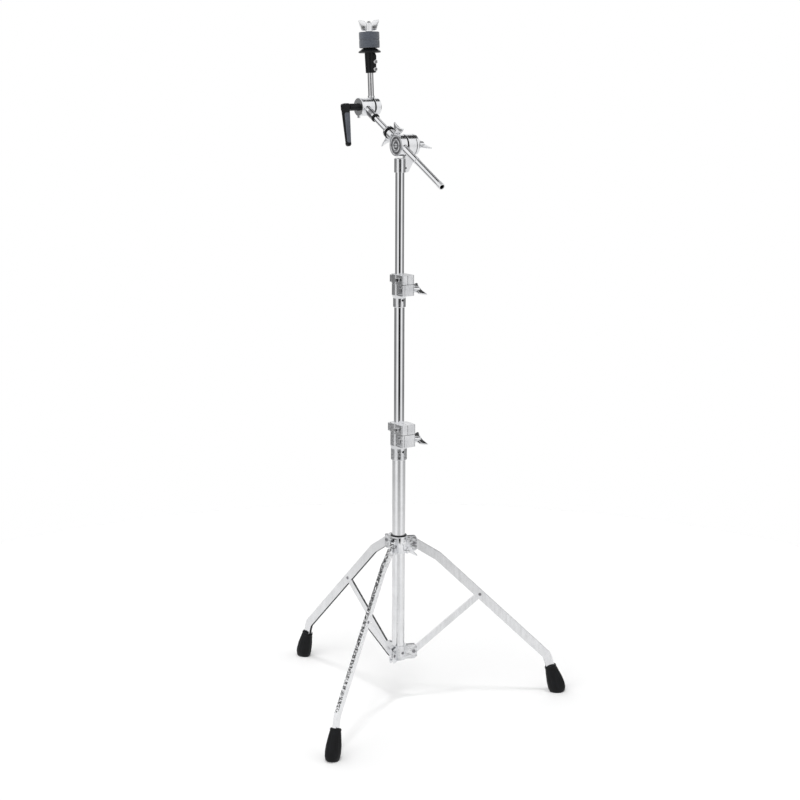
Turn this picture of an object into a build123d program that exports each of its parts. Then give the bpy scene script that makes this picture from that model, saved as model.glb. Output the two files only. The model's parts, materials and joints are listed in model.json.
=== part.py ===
from build123d import *
import os
from math import cos, sin, tan, radians, hypot, atan2

# A cymbal boom stand: tripod, two sliding tubes, boom tilter, boom and cymbal tilter.
# Lengths are in millimetres, +Z is up and the rubber feet stand on Z = 0.
# The model is drawn about the column's axis. At the end it is moved so that the origin is the
# bottom centre of its box.

# ---- column ----
base_tube_od = 28.6
base_tube_id = 25.4
base_tube_low = 97.0
base_tube_top = 588.3
middle_tube_od = 22.2
middle_tube_id = 19.8
middle_tube_low = 355.0
middle_tube_top = 924.0
upper_tube_od = 19.05
upper_tube_id = 16.65
upper_tube_low = 600.0
upper_tube_top = 1206.0
slide_clearance = 0.06        # radial gap of every running fit
rest_gap = 0.10               # gap between a memory lock and the clamp it rests on

# ---- castings on the column: their cross bolts point this way, seen from above ----
casting_turn = 33.0
clamp_bolt_d = 6.0

# ---- tripod ----
leg_headings = {"right": 8.5, "left": 128.5, "front": -111.5}
hub_pivot_radius = 34.5
lower_pivot_z = 113.6
brace_length = 195.5
brace_rise = 40.2             # degrees above level at rest
leg_width = 8.0
leg_height = 19.0
leg_wall = 1.2
brace_width = 5.0
brace_height = 14.0
brace_wall = 1.0
pivot_pin_d = 5.0
upper_bend = (88.5, 332.0)    # radius from the column, height
lower_bend = (341.0, 88.0)
ankle_slope = 72.0            # degrees below level
boot_length = 66.0
boot_width = 36.0
boot_depth = 29.0

# ---- boom tilter ----
tilter_z = 1236.5
tilter_radius = 23.0
boom_slope = 27.0             # degrees, the counterweight end lower
boom_side = -1.7              # boom axis along the tilter's axis
boom_lift = 5.0               # boom axis above the tilter's axis
holder_left = -9.5
seam_left = 5.6
seam_right = 9.2
tilter_end = 41.2

# ---- boom ----
boom_od = 12.7
boom_id = 10.3
boom_start = -151.0           # measured down the boom from the tilter's axis
boom_end = 178.0
boom_joint = -162.5           # where the boom's line meets the cymbal tilter's axis
socket_end = -107.0
stop_collar_od = 26.0

# ---- cymbal tilter and post ----
seam_offset = 20.2            # from the boom's line to the seam, along the tilter's axis
joint_drop = 3.0              # the cymbal tilter's axis below the boom's line
small_tilter_radius = 19.0
small_disc_radius = 20.0
small_seam = 1.8              # half the width of its seam
lever_start = 34.0            # from the seam to the lever's hub
lever_arm_offset = 66.5
lever_arm_length = 84.0
lever_lean = 9.0
post_lean = 3.7               # degrees, away from the boom
post_d = 12.5
stud_d = 7.8
seat_low = 1384.0
seat_top = 1437.3
felt_od = 44.5
felt_thickness = 17.0
stud_top = 1494.0
wing_nut_span = 45.0

# ---- fastenings: where they point at rest ----
collar_bolt_heading = -35.0
collar_bolt_z = 353.0
collar_wing_turn = 45.0
tilter_nut_turn = -72.0
clamp_nut_turn = -63.0
stop_screw_turn = 60.0
seat_screw_heading = -68.0    # seen with the castings unturned
seat_screw_heights = (seat_low + 7.5, seat_low + 23.4)

# ---- clamps and memory locks: heights, and reaches from the column's axis ----
low_clamp = dict(low=555.5, block_low=588.5, high=615.5, round_r=18.7, left=15.5, right=20.0, front=35.3)
top_clamp = dict(low=892.0, block_low=919.0, high=943.0, round_r=16.3, left=13.5, right=17.0, front=32.5)
low_lock = dict(low=615.5 + rest_gap, high=638.0, round_r=17.6, left=15.5, right=20.0, front=35.3, back=25.0)
top_lock = dict(low=943.0 + rest_gap, high=963.4, round_r=15.6, left=13.5, right=17.0, front=32.5, back=22.0)


def disc(radius, low, high):
    """An upright cylinder between two heights."""
    return Pos(0, 0, (low + high) / 2) * Cylinder(radius, high - low)


def ring(outer, inner, low, high):
    """An upright tube between two heights, given by its two diameters."""
    return disc(outer / 2, low, high) - disc(inner / 2, low - 1, high + 1)


def block(x0, x1, y0, y1, z0, z1):
    """A box between two corners."""
    middle = Pos((x0 + x1) / 2, (y0 + y1) / 2, (z0 + z1) / 2)
    return middle * Box(x1 - x0, y1 - y0, z1 - z0)


def along_x(shape):
    """Lay an upright shape down so that its height runs along +X."""
    return Rot(0, 90, 0) * shape


def turned(points):
    """The solid of revolution about Z of an outline of (radius, height) points."""
    outline = make_face(Polyline([(r, 0, z) for r, z in points], close=True))
    return revolve(outline, Axis.Z)


def band(points, above, below, bend):
    """The flat outline between two offsets of a bent line, with mitred corners rounded off."""
    upper, lower = [], []
    for i, (x, y) in enumerate(points):
        before = points[max(i - 1, 0)]
        after = points[min(i + 1, len(points) - 1)]
        a1 = atan2(y - before[1], x - before[0]) if i else None
        a2 = atan2(after[1] - y, after[0] - x) if i < len(points) - 1 else a1
        a1 = a2 if a1 is None else a1
        middle = (a1 + a2) / 2
        reach = 1 / cos((a2 - a1) / 2)
        nx, ny = -sin(middle) * reach, cos(middle) * reach
        upper.append((x + nx * above, y + ny * above))
        lower.append((x - nx * below, y - ny * below))
    outline = make_face(Polyline(upper + lower[::-1], close=True))
    corners = [v for v in outline.vertices()
               if any(hypot(v.X - x, v.Y - y) < 0.01 for x, y in upper[1:-1] + lower[1:-1])]
    return fillet(corners, bend) if corners else outline


def channel(points, height, width, wall, bend):
    """A bent U channel, open below, centred on a line of (radius, height) points."""
    top = height / 2
    outer = band(points, top, top, bend) + Pos(*points[0]) * Circle(top)
    inner = band(points, top - wall, top + 2, bend) + Pos(*points[0]) * Circle(top - wall)
    inner += Pos(*points[0]) * Rectangle(1.2 * height, 1.2 * height, align=(Align.MAX, Align.CENTER))
    return extrude(outer, width / 2, both=True) - extrude(inner, width / 2 - wall, both=True)


def in_leg_plane(shape, heading):
    """Stand a shape drawn as (radius, height) up in the plane of one leg."""
    return Rot(0, 0, heading) * Rot(90, 0, 0) * shape


def wing_nut(span, hub_low, hub_high, hub_height, rise, bore, thickness=3.0):
    """A wing nut standing on Z = 0: a tapered hub and two broad wings that flare outwards."""
    half = span / 2
    top = hub_height + rise
    root = bore / 2 + 0.8
    outline = [(root, top * 0.14), (half * 0.45, top * 0.18), (half * 0.74, top * 0.26),
               (half * 0.97, top * 0.80), (half, top * 0.92), (half * 0.94, top), (half * 0.6, top * 0.93),
               (root, top * 0.84)]
    wing = make_face(Polyline(outline, close=True))
    outer = [v for v in wing.vertices() if v.X > root + 1]
    wing = Rot(90, 0, 0) * extrude(fillet(outer, span * 0.022), thickness / 2, both=True)
    hub = turned([(0, 0), (hub_low / 2, 0), (hub_low / 2, 2.0), (hub_high / 2, hub_height),
                  (0, hub_height)])
    nut = hub + wing + Rot(0, 0, 180) * wing
    return nut - disc(bore / 2, -1, hub_height + 1)


def wing_screw(span, hub_low, hub_high, hub_height, rise, shank_d, shank_length):
    """A wing bolt: solid hub on Z = 0 with its shank below."""
    nut = wing_nut(span, hub_low, hub_high, hub_height, rise, 2.0, 2.6)
    return nut + disc(1.0, 0, hub_height) + disc(shank_d / 2, -shank_length, 0.5)


# ---- tripod geometry: radius from the column's axis and height ----
brace_run = brace_length * cos(radians(brace_rise))
brace_climb = brace_length * sin(radians(brace_rise))
mid_pivot = (hub_pivot_radius + brace_run, lower_pivot_z + brace_climb)
upper_pivot = (hub_pivot_radius, lower_pivot_z + 2 * brace_climb)
lower_pivot = (hub_pivot_radius, lower_pivot_z)
ankle_run = lower_bend[1] / tan(radians(ankle_slope))
foot_point = (lower_bend[0] + ankle_run, 0.0)
leg_end = (lower_bend[0] + 0.62 * ankle_run, 0.38 * lower_bend[1])
pin_hole_d = pivot_pin_d + 0.16


def leg():
    """One bent leg channel with its two pivot holes, in the leg's own plane."""
    line = [upper_pivot, upper_bend, lower_bend, leg_end]
    bar = channel(line, leg_height, leg_width, leg_wall, 20)
    for x, y in (upper_pivot, mid_pivot):
        bar -= Pos(x, y, 0) * Cylinder(pin_hole_d / 2, 2 * leg_width)
    return bar


def brace():
    """One straight brace channel, narrower at its lower end, with round ends at its pivots."""
    top = brace_height / 2
    angle = radians(brace_rise)
    bar = band([lower_pivot, mid_pivot], top, top, 1)
    for x, y in (lower_pivot, mid_pivot):
        bar += Pos(x, y) * Circle(top)
    solid = extrude(bar, brace_width / 2, both=True)
    start = 20.0
    inside = [(hub_pivot_radius + s * cos(angle), lower_pivot_z + s * sin(angle))
              for s in (start, brace_length + 2 * top)]
    groove = band(inside, top - brace_wall, top + 2, 1)
    solid -= extrude(groove, brace_width / 2 - brace_wall, both=True)
    for x, y in (lower_pivot, mid_pivot):
        solid -= Pos(x, y, 0) * Cylinder(pin_hole_d / 2, 2 * brace_width)
    return solid


def pivot_pin(point, length, head_d=8.0):
    """A pivot pin across the leg's plane with a domed head at each end."""
    head = turned([(0, 0), (head_d / 2, 0), (head_d / 2, 0.7), (head_d / 4, 1.7), (0, 2.0)])
    pin = Cylinder(pivot_pin_d / 2, length) + Pos(0, 0, length / 2) * head
    pin += Rot(180, 0, 0) * Pos(0, 0, length / 2) * head
    return Pos(point[0], point[1], 0) * pin


def boot(leg_solid):
    """A rubber boot that flares towards its round sole, cut flat where it stands."""
    sections = [(0.0, 20.5, 18.0), (0.28, 24.0, 20.5), (0.62, 34.0, 27.5), (0.82, boot_width, boot_depth),
                (0.93, 31.0, 25.0), (1.0, 20.0, 16.0)]
    faces = []
    for share, wide, deep in sections:
        plane = Plane(origin=(0, 0, -share * boot_length), x_dir=(1, 0, 0), z_dir=(0, 0, 1))
        faces.append(plane * Ellipse(wide / 2, deep / 2))
    body = loft(faces)
    tilt = 90 - ankle_slope
    body = Pos(foot_point[0], 0, 0) * Rot(0, -tilt, 0) * Pos(0, 0, boot_length + 0.4) * body
    body -= block(200, 600, -60, 60, -40, 0)
    socket = Rot(90, 0, 0) * extrude(band([lower_bend, leg_end], leg_height / 2, leg_height / 2, 1),
                                     leg_width / 2, both=True)
    return body - socket


def leg_collar():
    """The sliding collar: a ring and three pairs of lugs that hold the legs."""
    low, high = upper_pivot[1] - 17.5, upper_pivot[1] + 15.0
    body = disc(18.8, low, high + 2)
    gap = leg_width + 0.6
    for heading in leg_headings.values():
        lug = block(10, 40, -gap / 2 - 3, gap / 2 + 3, low, high)
        lug = fillet(lug.edges().filter_by(Axis.Y).group_by(Axis.X)[-1], 6)
        body += Rot(0, 0, heading) * lug
    boss = along_x(disc(7.5, 0, 24.5))
    body += Rot(0, 0, collar_bolt_heading) * Pos(0, 0, collar_bolt_z) * boss
    bore = base_tube_od / 2 + slide_clearance
    body -= disc(bore, low - 8, high + 4)
    for heading in leg_headings.values():
        gap_box = block(19.5, 60, -gap / 2, gap / 2, low - 1, high + 3)
        hole = in_leg_plane(Pos(*upper_pivot, 0) * Cylinder(pin_hole_d / 2, 40), heading)
        body -= Rot(0, 0, heading) * gap_box + hole
    shank = along_x(disc(3.06, 10, 30))
    return body - Rot(0, 0, collar_bolt_heading) * Pos(0, 0, collar_bolt_z) * shank


def collar_wing_bolt():
    """The wing bolt that locks the collar to the tube, ready in its place."""
    screw = wing_screw(34, 12, 10, 11, 7, 6.0, 9.6)
    screw = Rot(0, 0, collar_wing_turn) * screw
    return Rot(0, 0, collar_bolt_heading) * Pos(24.6, 0, collar_bolt_z) * along_x(screw)


def brace_bracket():
    """The riveted bracket at the foot of the column with three pairs of lug plates."""
    low, high = lower_pivot_z - 16.5, lower_pivot_z + 16.0
    gap = brace_width + 0.6
    plate = 2.2
    body = disc(base_tube_od / 2 + 2.2, low, high)
    for heading in leg_headings.values():
        lug = block(8, 42, -gap / 2 - plate, gap / 2 + plate, low, high)
        lug = chamfer(lug.edges().filter_by(Axis.Y).group_by(Axis.X)[-1], 6)
        body += Rot(0, 0, heading) * lug
    body -= disc(base_tube_od / 2, low - 1, high + 1)
    for heading in leg_headings.values():
        body -= Rot(0, 0, heading) * block(17.5, 60, -gap / 2, gap / 2, low - 1, high + 1)
        body -= in_leg_plane(Pos(*lower_pivot, 0) * Cylinder(pivot_pin_d / 2, 40), heading)
    return body


def bracket_rivets():
    """The three pivot pins of the braces and the three rivets between the lugs."""
    pins = []
    for heading in leg_headings.values():
        pins.append(in_leg_plane(pivot_pin(lower_pivot, brace_width + 5.0), heading))
        head = turned([(0, 0), (3.4, 0), (3.2, 1.0), (1.8, 1.9), (0, 2.2)])
        place = Rot(0, 0, heading + 60) * Pos(base_tube_od / 2 + 2.2, 0, lower_pivot_z)
        pins.append(place * along_x(head))
    return Compound(children=pins)


def leg_pins():
    """The three pivot pins of the collar."""
    return Compound(children=[in_leg_plane(pivot_pin(upper_pivot, leg_width + 6.6), heading)
                              for heading in leg_headings.values()])


def base_tube():
    """The lowest tube, fixed in the bracket and in the lower clamp."""
    return ring(base_tube_od, base_tube_id, base_tube_low, base_tube_top)


# ---- clamps: drawn with the cross bolt along +X and the ears towards -Y ----
def split_block(round_r, left, right, front, low, high, inset):
    """A round body with a square block in front of it, its lowest part set in as a dark seam."""
    body = disc(round_r, low, high) + block(-left, right, -front, 0, low, high)
    body = fillet(body.edges().filter_by(Axis.Z).group_by(Axis.Y)[0], 2.5)
    if inset:
        step = low + inset
        thin = disc(round_r - inset, low, step)
        thin += block(-left + inset, right - inset, -front + inset, 0, low, step)
        body = body - block(-60, 60, -60, 60, low, step) + thin
    return body


def clamp_body(tube_od, tube_top, sleeve_od, low, block_low, high, round_r, left, right, front):
    """A cast clamp: a sleeve on the tube and a split block with a cross bolt above it."""
    sleeve_r = sleeve_od / 2
    body = turned([(0, low), (sleeve_r - 1, low), (sleeve_r, low + 1), (sleeve_r, block_low - 7),
                   (round_r, block_low + 1), (0, block_low + 1)])
    body += split_block(round_r, left, right, front, block_low, high, 0)
    body -= disc(tube_od / 2, low - 1, tube_top)
    body -= disc(tube_od / 2 - 0.3, tube_top - 1, high + 1)
    middle = (block_low + high) / 2
    bolt_y = -(front - 9.0)
    slit = -left + 6.5
    body -= block(slit - 0.33, slit + 0.33, -front - 1, 0, block_low - 2, high + 1)
    body -= Pos(0, bolt_y, middle) * along_x(disc(clamp_bolt_d / 2 + 0.2, -60, 60))
    body -= block(-left - 1, -left + 3.2, bolt_y - 7.2, bolt_y + 7.2, block_low + 3.6, high - 3.6)
    screw_z = low + 0.62 * (block_low - low) - 1
    drill = Rot(0, 0, -90) * Pos(0, 0, screw_z) * along_x(disc(2.7, tube_od / 2 + 0.8, 60))
    return body - drill


def clamp_bush(tube_od, inner_od, low, high):
    """The split nylon bush that the clamp squeezes on the sliding tube."""
    body = ring(tube_od - 0.6, inner_od + 2 * slide_clearance, low, high)
    return body - block(-0.8, 0.8, -tube_od, 0, low - 1, high + 1)


def clamp_bolt(left, right, front, middle, nut_reach):
    """The clamp's bolt, lying along X, with a square head on a round flange."""
    bolt_y = -(front - 9.0)
    bolt = along_x(disc(clamp_bolt_d / 2, -left + 0.2, right + nut_reach))
    bolt += along_x(disc(6.6, -left + 1.6, -left + 3.2))
    bolt += block(-left - 1.2, -left + 1.6, -4.2, 4.2, -4.2, 4.2)
    return Pos(0, bolt_y, middle) * bolt


def clamp_nut(right, front, middle, turn):
    """The clamp's wing nut in its place on the bolt."""
    nut = Rot(0, 0, turn) * wing_nut(44, 15, 12, 16.5, 9.5, clamp_bolt_d + 0.12)
    return Pos(right + 0.4, -(front - 9.0), middle) * along_x(nut)


def lock_screw_y(tube_od):
    """How far in front of the column a lock's key screw passes."""
    return -(tube_od / 2 + 5.5)


def lock_jaws(tube_od, low, high, round_r, left, right, front, back):
    """The two jaws of a memory lock, hinged behind: the block jaw and the small left jaw."""
    height = high - low
    outline = split_block(round_r, left, right, front, low, high, 0.7)
    ears = block(-left + 1.5, 9, 5, back, low + 0.12 * height, high - 0.12 * height)
    outline += fillet(ears.edges().filter_by(Axis.Z).group_by(Axis.Y)[-1], 3)
    outline -= disc(tube_od / 2 + slide_clearance, low - 1, high + 1)
    outline -= Pos(0, lock_screw_y(tube_od), (low + high) / 2) * along_x(disc(2.6, -60, right - 4))
    hinge_y = tube_od / 2 + 3
    knuckle = Pos(-left + 5, hinge_y, 0) * disc(3.2, low + 0.7, high)
    seat = Pos(-left + 5, hinge_y, 0) * disc(3.4, low - 1, high + 1)
    small = outline & block(-60, -0.35, -60, hinge_y, low - 1, high + 1)
    big = outline - block(-60, 0.35, -61, hinge_y + 0.4, low - 1, high + 1)
    return big - seat, small + (knuckle - disc(tube_od / 2 + slide_clearance, low - 1, high + 1))


def lock_screw(tube_od, left, right, low, high):
    """The square-headed key screw that pulls the two jaws of a memory lock together."""
    screw = along_x(disc(2.5, -left - 0.4, right - 5))
    screw += along_x(disc(4.6, -left - 1.4, -left - 0.2))
    screw += block(-left - 6.6, -left - 1.2, -3.2, 3.2, -3.2, 3.2)
    return Pos(0, lock_screw_y(tube_od), (low + high) / 2) * screw


def tube_glide():
    """The nylon ring on the middle tube's lower end that runs inside the base tube."""
    body = ring(base_tube_id - 2 * slide_clearance, middle_tube_od, middle_tube_low, middle_tube_low + 14)
    return body + ring(middle_tube_od, middle_tube_id, middle_tube_low - 2, middle_tube_low)


def upper_glide():
    """The nylon plug on the upper tube's lower end that runs inside the middle tube."""
    body = disc(middle_tube_id / 2 - slide_clearance, upper_tube_low - 3, upper_tube_low)
    return body + disc(upper_tube_id / 2, upper_tube_low - 1, upper_tube_low + 12)


# ---- boom tilter ----
slope = radians(boom_slope)
boom_origin = Pos(boom_side, -boom_lift * sin(slope), tilter_z + boom_lift * cos(slope))


def on_boom(shape):
    """Place a shape drawn with the boom along +X (down the boom) and +Z square to it."""
    return boom_origin * Rot(boom_slope, 0, 0) * Rot(0, 0, -90) * shape


def on_tilter(shape):
    """Lay an upright shape on the boom tilter's axis, its height running along +X."""
    return Pos(0, 0, tilter_z) * along_x(shape)


neck_low, neck_top = 1179.6, 1209.8
cap_start = tilter_end - 12.0


def tilter_base():
    """The fixed half of the boom tilter with its web and the socket on the upper tube."""
    body = disc(12, neck_low, neck_top)
    body = chamfer(body.edges().group_by(Axis.Z)[-1], 1)
    web = make_face(Polyline([(5, neck_low), (17, neck_low), (19, neck_low + 2), (31, neck_low + 22),
                              (31, neck_low + 31), (27.2, neck_low + 33.5),
                              (27.2, tilter_z - 15), (seam_right + 1, tilter_z - 15),
                              (seam_right + 1, neck_top - 4), (5, neck_top - 4)], close=True))
    body += extrude(Rot(90, 0, 0) * web, 5, both=True)
    r = tilter_radius
    head = turned([(0, seam_right), (r - 0.6, seam_right), (r, seam_right + 0.6), (r, cap_start - 1.0),
                   (r - 0.9, cap_start - 0.1), (0, cap_start - 0.1)])
    body += on_tilter(head)
    body -= disc(upper_tube_od / 2, neck_low - 1, upper_tube_top)
    body -= on_tilter(disc(4.2, 0, 60))
    return body - Pos(12.5, 0, neck_low + 9) * Rot(90, 0, 0) * Cylinder(1.8, 30)


def tilter_end_cap():
    """The domed pressure cap under the tilter's wing nut."""
    r = tilter_radius - 0.2
    low, high = cap_start, tilter_end
    return on_tilter(turned([(4.2, low), (r - 0.9, low), (r, low + 0.8), (r, high - 7.0),
                             (r - 1.8, high - 3.8), (r - 6, high - 1.4), (r - 12, high), (4.2, high)]))


def boom_holder():
    """The turning half of the boom tilter: a thick disc, the boom's barrel and the clamp boss."""
    r = tilter_radius
    body = on_tilter(turned([(0, holder_left), (r - 0.6, holder_left), (r, holder_left + 0.6),
                             (r, seam_left - 0.6), (r - 0.6, seam_left), (0, seam_left)]))
    barrel = along_x(disc(7.7, -43.0, 26.0)) + along_x(disc(10.5, -43.0, -27.0))
    boss = Pos(-20.0, 0, 0) * disc(7.7, 0, 14.0)
    body += on_boom(barrel + boss)
    body -= on_boom(along_x(disc(boom_od / 2 + 0.1, -60, 24)) + along_x(disc(7.3, 14, 60)))
    body -= on_boom(Pos(-20.0, 0, 0) * disc(3.05, 0, 30))
    eye_room = along_x(disc(7.95, -5.2, 5.2))
    body -= on_boom(eye_room)
    return body - on_tilter(disc(4.2, 0, 30))


def ring_cap():
    """The dished end cap with concentric rings and a raised centre."""
    face = holder_left
    cap = turned([(0, face), (21.8, face), (22.6, face - 0.8), (22.6, face - 2.0), (21.6, face - 2.6),
                  (19.8, face - 2.6), (19.0, face - 1.6), (16.6, face - 1.6), (16.0, face - 2.4),
                  (13.6, face - 2.4), (13.0, face - 1.4), (10.4, face - 1.4), (9.8, face - 2.4),
                  (7.6, face - 2.4), (7.0, face - 1.4), (5.0, face - 1.4), (4.6, face - 3.0),
                  (0, face - 3.4)])
    return on_tilter(cap)


def friction_disc():
    """The black friction disc in the tilter's seam, relieved where the boom passes."""
    plain = turned([(4.3, seam_left), (22.2, seam_left), (22.2, seam_right), (4.3, seam_right)])
    return on_tilter(plain) - on_boom(along_x(disc(8.0, -40, 40)) + Pos(-20, 0, 0) * disc(8.0, 0, 15))


def tilter_eyebolt():
    """The eyebolt that pulls on the boom: an eye round the boom and a shank along the tilter's axis."""
    eye = on_boom(along_x(ring(15.6, 13.0, -4.8, 4.8)))
    lug = on_tilter(disc(4.0, seam_left - 3.0, tilter_end + 12.0))
    lug -= on_boom(along_x(disc(6.9, -20, 20)))
    return eye + lug


def tilter_nut():
    """The wing nut that locks the boom tilter, on its eyebolt."""
    nut = Rot(0, 0, tilter_nut_turn) * wing_nut(46, 17, 13.5, 17, 9, 8.12)
    return on_tilter(Pos(0, 0, tilter_end + 0.3) * nut)


def guide_sleeve():
    """The split guide sleeve that the boom slides in, pressed into the holder."""
    body = along_x(ring(14.6, boom_od + 2 * slide_clearance, 14.2, 75.0))
    return on_boom(body - block(52, 80, -0.6, 0.6, 0, 12))


def boom_wing_screw():
    """The wing screw on the boss that clamps the boom."""
    screw = Rot(0, 0, 8) * wing_screw(32, 11, 9, 9, 8, 6.0, 7.4)
    return on_boom(Pos(-20.0, 0, 14.2) * screw)


def stop_collar():
    """The memory collar on the boom that rests against the barrel."""
    body = along_x(ring(stop_collar_od, boom_od + 2 * slide_clearance, -51.6, -43.4))
    body = chamfer(body.edges().filter_by(GeomType.CIRCLE).group_by(Axis.X)[0], 0.8)
    return on_boom(body - Pos(-47.5, 0, 0) * disc(2.6, -20, 0))


def stop_wing_screw():
    """The wing screw under the stop collar."""
    screw = Rot(0, 0, stop_screw_turn) * wing_screw(36, 10, 8, 9, 8, 5.0, 6.4)
    return on_boom(Pos(-47.5, 0, -stop_collar_od / 2 - 0.2) * Rot(180, 0, 0) * screw)


# ---- boom ----
def boom_tube():
    """The boom's tube, from inside the cymbal tilter's socket to its lower end."""
    return on_boom(along_x(ring(boom_od, boom_id, boom_start, boom_end)))


def boom_ferrule():
    """The grooved ferrule on the boom's lower end."""
    outline = [(boom_od / 2, 0), (7.0, 0)]
    for i in range(5):
        z = 1.6 + 2.0 * i
        outline += [(7.0, z), (6.7, z + 0.4), (6.7, z + 0.8), (7.0, z + 1.2)]
    outline += [(7.0, 12.0), (boom_od / 2, 12.0)]
    return on_boom(along_x(Pos(0, 0, boom_end - 12.2) * turned(outline)))


# ---- cymbal tilter: its axis is parallel to the boom tilter's axis ----
joint_y = -boom_lift * sin(slope) - boom_joint * cos(slope)
joint_z = tilter_z + boom_lift * cos(slope) - boom_joint * sin(slope) - joint_drop
joint_x = boom_side + seam_offset


def on_joint(shape):
    """Lay an upright shape on the cymbal tilter's axis, its height running along +X from the seam."""
    return Pos(joint_x, joint_y, joint_z) * along_x(shape)


def cymbal_tilter_base():
    """The half of the cymbal tilter on the boom: a drum, an end disc and the boom's socket."""
    r, d = small_tilter_radius, small_disc_radius
    end = -lever_start
    body = on_joint(turned([(0, end), (d - 1, end), (d, end + 1), (d, end + 2.5), (d - 0.8, end + 3.3),
                            (r, end + 3.3), (r, -small_seam - 0.6), (r - 0.6, -small_seam),
                            (0, -small_seam)]))
    body += Pos(joint_x + end + 1.6, joint_y, joint_z - small_disc_radius) * Box(3.2, 6, 7)
    body += on_boom(along_x(disc(8.8, boom_joint + 8, socket_end)))
    body -= on_boom(along_x(disc(boom_od / 2, boom_start, socket_end + 1)))
    return body - on_joint(disc(4.1, -60, 60))


def cymbal_friction_disc():
    """The black friction disc in the cymbal tilter's seam."""
    return on_joint(turned([(4.1, -small_seam), (17.6, -small_seam), (17.6, small_seam), (4.1, small_seam)]))


def cymbal_tilter_bolt():
    """The steel bolt through the cymbal tilter: thin head on the right, thread under the lever."""
    return on_joint(disc(4.0, -52, 12.9) + disc(7.0, 10.6, 13.4))


def cymbal_tilter_top():
    """The half of the cymbal tilter that carries the post, with a saddle over the seam."""
    r = small_tilter_radius
    body = turned([(0, small_seam), (r - 0.6, small_seam), (r, small_seam + 0.6), (r, 12.9), (r - 1.2, 15.0),
                   (r - 4, 16.2), (0, 16.8)])
    body = along_x(body)
    over = r + 0.5
    saddle = disc(7.4, over, r + 4.5) + disc(6.6, 10, r + 3)
    body += saddle & (block(small_seam + 0.4, 40, -20, 20, 0, 60) + block(-40, 40, -20, 20, over, 60))
    body -= along_x(disc(4.15, 0, 10.4) + disc(7.2, 10.4, 18))
    return Pos(joint_x, joint_y, joint_z) * Rot(-post_lean, 0, 0) * body


def lever_handle():
    """The black lever: a long hub on the bolt, an elbow and a flat tapering arm."""
    start = lever_start + 0.3
    hub = turned([(0, start), (8.6, start), (8.6, start + 2.7), (7.8, start + 4.2), (7.8, 58), (0, 58)])
    elbow = Pos(0, 0, lever_arm_offset) * Box(16.5, 16.5, 17)
    elbow = fillet(elbow.edges(), 4)
    plane_a = Plane(origin=(5, 0, lever_arm_offset), x_dir=(0, 1, 0), z_dir=(1, 0, 0))
    plane_b = Plane(origin=(lever_arm_length - 6, 0, lever_arm_offset), x_dir=(0, 1, 0), z_dir=(1, 0, 0))
    arm = loft([plane_a * RectangleRounded(13.5, 16.5, 3.5), plane_b * RectangleRounded(9, 11.5, 3.2)])
    tip = Pos(lever_arm_length - 6, 0, lever_arm_offset) * Rot(90, 0, 0) * Cylinder(5.7, 8.6)
    body = hub + elbow + arm + fillet(tip.edges(), 1.5)
    body -= disc(4.06, lever_start - 1, 52.5)
    # Drawn with the hub along +Z and the arm along +X: the hub goes to -X and the arm down.
    place = Pos(joint_x, joint_y, joint_z) * Rot(-lever_lean, 0, 0)
    return place * Rot(0, 90, 0) * Rot(180, 0, 0) * body


# ---- post, seat, felts and wing nut: all on the vertical post ----
def on_post(shape):
    """Place a shape drawn upright about the post: the post leans a little about the tilter's axis."""
    return Pos(joint_x, joint_y, joint_z) * Rot(-post_lean, 0, 0) * Pos(0, 0, -joint_z) * shape


post_low = joint_z + small_tilter_radius + 4.5


def cymbal_post():
    """The steel post with its threaded end."""
    body = disc(post_d / 2, post_low, seat_low + 34) + disc(stud_d / 2, seat_low + 30, stud_top)
    return on_post(chamfer(body.edges().group_by(Axis.Z)[-1], 1))


def cymbal_seat():
    """The black seat: a slim body with a rib, a drooping flange and the sleeve through the felts."""
    low, top = seat_low, seat_top
    body = turned([(0, low), (9.4, low), (10.0, low + 0.8), (11.2, low + 42.0), (12.0, low + 43.8),
                   (22.8, low + 43.0), (23.8, low + 43.2), (24.4, low + 44.4), (23.6, low + 46.2),
                   (18.0, low + 50.4), (13.4, top - 0.6), (12.6, top), (5.7, top), (5.7, top + 31.5),
                   (0, top + 31.5)])
    rib = make_face(Polyline([(0, low + 0.6), (11.6, low + 0.6), (12.4, low + 1.6), (14.2, low + 36.0),
                              (11.0, low + 43.4), (0, low + 43.4)], close=True))
    body += Rot(0, 0, seat_screw_heading) * Rot(90, 0, 0) * extrude(rib, 4.5, both=True)
    body -= disc(post_d / 2, low - 1, low + 34)
    body -= disc(stud_d / 2 + 0.1, low + 30, top + 40)
    for height in seat_screw_heights:
        body -= Rot(0, 0, seat_screw_heading) * Pos(0, 0, height) * along_x(disc(2.5, 0, 40))
    return on_post(body)


def seat_screws():
    """The two square-headed key screws that hold the seat on the post."""
    screws = []
    for height in seat_screw_heights:
        reach = 12.8 + 1.8 * (height - seat_low) / 36
        screw = along_x(disc(2.5, post_d / 2, reach + 0.5)) + block(reach, reach + 3.6, -2.9, 2.9, -2.9, 2.9)
        screws.append(on_post(Rot(0, 0, seat_screw_heading) * Pos(0, 0, height) * screw))
    return Compound(children=screws)


def felt(low):
    """A thick felt washer on the seat's sleeve."""
    body = ring(felt_od, 11.8, low, low + felt_thickness - 0.1)
    return on_post(fillet(body.edges().group_by(Axis.Z)[0] + body.edges().group_by(Axis.Z)[-1], 1.2))


def cymbal_wing_nut():
    """The wing nut on top of the upper felt."""
    nut = Rot(0, 0, -casting_turn) * wing_nut(wing_nut_span, 15, 12, 19, 6, stud_d + 0.12)
    return on_post(Pos(0, 0, seat_top + 2 * felt_thickness + 0.3) * nut)


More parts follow.
